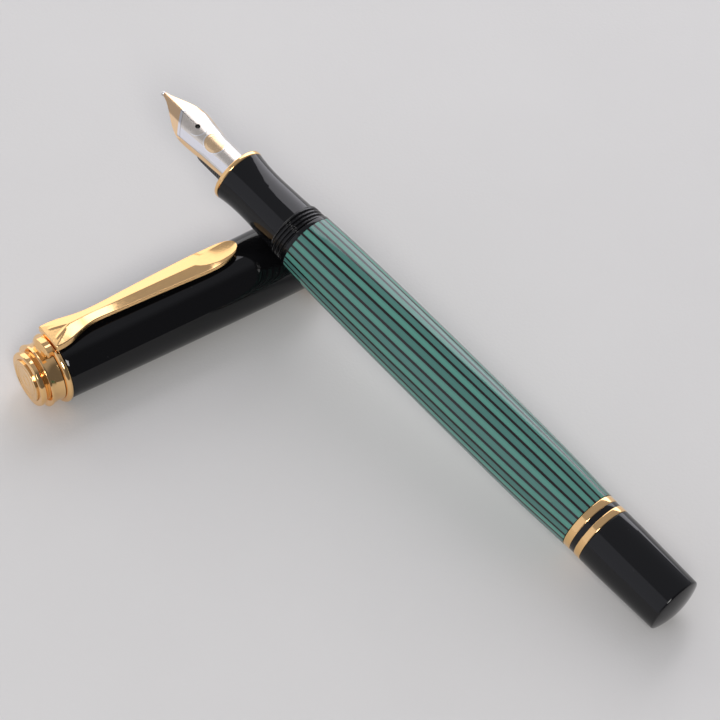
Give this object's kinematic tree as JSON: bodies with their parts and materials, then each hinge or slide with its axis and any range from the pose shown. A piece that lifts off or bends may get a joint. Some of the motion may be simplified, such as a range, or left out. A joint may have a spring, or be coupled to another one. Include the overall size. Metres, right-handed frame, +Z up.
{
  "type": "fountain pen",
  "caption": "Piston-filling fountain pen lying uncapped across its own cap, with a turning filler knob, sprung clip and removable nib unit.",
  "frame": {"origin": "middle of the floor area that the uncapped pen and its cap cover, on the floor", "axes": "+Z up; +X along the cap from its crown to its open mouth; +Y towards the nib, across the cap"},
  "size_m": [0.0714, 0.1218, 0.0252],
  "materials": {
    "black_resin": "polished",
    "black_plastic": "satin",
    "ink_window_resin": "clear tinted",
    "striped_celluloid": "polished green and black stripes",
    "gold_plate": "polished gold plate",
    "gold_disc": "satin gold plate",
    "two_tone_nib": "polished, two tones",
    "nib_tipping": "polished",
    "brass_works": "machined",
    "steel_stud": "machined",
    "white_seal": "smooth",
    "black_rubber": "smooth"
  },
  "bodies": {
    "cap": {"cap_tube": "black_resin", "inner_cap": "black_plastic", "lip_band_wide": "gold_plate", "lip_band_thin": "gold_plate", "bead_ring": "gold_plate", "clip_hoop": "gold_plate", "crown": "gold_plate", "crown_medallion": "gold_disc", "crown_screw": "steel_stud"},
    "clip": {"clip_arm": "gold_plate"},
    "barrel": {"grip_section": "black_resin", "section_ring": "gold_plate", "barrel_tube": "ink_window_resin", "striped_sleeve": "striped_celluloid", "rear_band_front": "gold_plate", "rear_band_spacer": "black_resin", "rear_band_back": "gold_plate", "piston_housing": "brass_works"},
    "nib_unit": {"nib": "two_tone_nib", "nib_point": "nib_tipping", "feed": "black_plastic", "nib_collar": "black_plastic"},
    "knob_carrier": {"spindle_o_ring": "black_rubber"},
    "knob": {"turning_knob": "black_resin", "knob_spindle": "brass_works"},
    "piston": {"piston_rod": "brass_works", "piston_seal": "white_seal"}
  },
  "joints": [
    {"name": "pen_lift", "type": "slide", "parent": "cap", "child": "barrel", "axis": [0, 0, 1], "range_m": [0, 0.06]},
    {"name": "clip_flex", "type": "hinge", "parent": "cap", "child": "clip", "pos_m": [-0.03051, 0.03301, 0.0126], "axis": [-0.0012, -0.988, 0.1547], "range_deg": [0, 3.5], "stiffness_Nm_per_rad": 1},
    {"name": "nib_unit_out", "type": "slide", "parent": "barrel", "child": "nib_unit", "axis": [-0.1787, 0.9738, 0.1405], "range_m": [0, 0.018]},
    {"name": "knob_travel", "type": "slide", "parent": "barrel", "child": "knob_carrier", "axis": [0.1787, -0.9738, -0.1405], "range_m": [0, 0.0065]},
    {"name": "knob_turn", "type": "hinge", "parent": "knob_carrier", "child": "knob", "pos_m": [0.02773, -0.0437, 0.00737], "axis": [0.1787, -0.9738, -0.1405], "range_deg": [0, 1260]},
    {"name": "piston_travel", "type": "slide", "parent": "barrel", "child": "piston", "axis": [-0.1787, 0.9738, 0.1405], "range_m": [0, 0.022]}
  ],
  "couplings": [
    {"joint": "knob_turn", "follows": "knob_travel", "rad_per_m": 3383.3},
    {"joint": "piston_travel", "follows": "knob_travel", "ratio": 3.3846}
  ]
}
